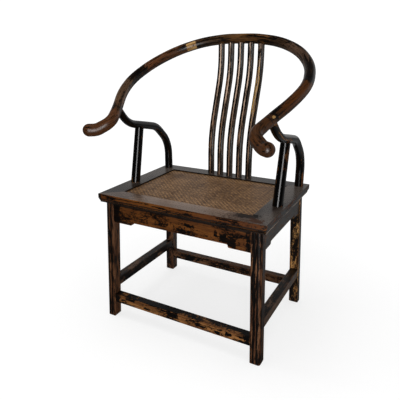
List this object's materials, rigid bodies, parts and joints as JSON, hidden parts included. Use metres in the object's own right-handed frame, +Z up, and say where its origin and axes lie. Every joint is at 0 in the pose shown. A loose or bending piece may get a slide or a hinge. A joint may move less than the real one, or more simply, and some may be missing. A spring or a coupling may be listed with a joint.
{
  "type": "horseshoe back armchair",
  "caption": "Joined hardwood armchair with a round hoop rail, curved slats and S-shaped side posts, a framed woven mat seat, splayed legs and low stretchers.",
  "frame": {"origin": "on the floor, under the middle of the chair's overall width and of its overall length from the hand rests to the back of the hoop", "axes": "+Z up, the front of the chair faces -Y, +X to the right as seen from in front"},
  "size_m": [0.6698, 0.5479, 0.9955],
  "materials": {
    "rail_lacquer": "glossy dark reddish brown lacquer, darker at the joints",
    "black_lacquer": "glossy black lacquer, rubbed to brown on the arrises",
    "worn_lacquer": "black lacquer rubbed through to orange brown wood",
    "seat_lacquer": "satin dark brown lacquer, edges rubbed to brown",
    "woven_mat": "plaited mat, brown, fine diagonal weave",
    "bare_wood": "planed, unfinished hardwood under the seat"
  },
  "bodies": {
    "root": {"apron_front": "worn_lacquer", "apron_left": "worn_lacquer", "apron_rear": "worn_lacquer", "apron_right": "worn_lacquer", "arm_post_left": "black_lacquer", "arm_post_right": "black_lacquer", "leg_front_left": "worn_lacquer", "leg_front_right": "worn_lacquer", "leg_rear_left": "worn_lacquer", "leg_rear_right": "worn_lacquer", "rail_arm_left": "rail_lacquer", "rail_arm_right": "rail_lacquer", "rail_back": "rail_lacquer", "rail_hand_left": "rail_lacquer", "rail_hand_right": "rail_lacquer", "rail_pins": "black_lacquer", "rail_shoulder_left": "rail_lacquer", "rail_shoulder_right": "rail_lacquer", "seat_batten_left": "bare_wood", "seat_batten_right": "bare_wood", "seat_board": "bare_wood", "seat_mat": "woven_mat", "seat_member_front": "seat_lacquer", "seat_member_left": "seat_lacquer", "seat_member_rear": "seat_lacquer", "seat_member_right": "seat_lacquer", "side_post_left": "black_lacquer", "side_post_right": "black_lacquer", "slat_1": "black_lacquer", "slat_2": "black_lacquer", "slat_3": "black_lacquer", "slat_4": "black_lacquer", "slat_5": "black_lacquer", "stretcher_front": "worn_lacquer", "stretcher_left": "worn_lacquer", "stretcher_rear": "worn_lacquer", "stretcher_right": "worn_lacquer"}
  },
  "joints": []
}
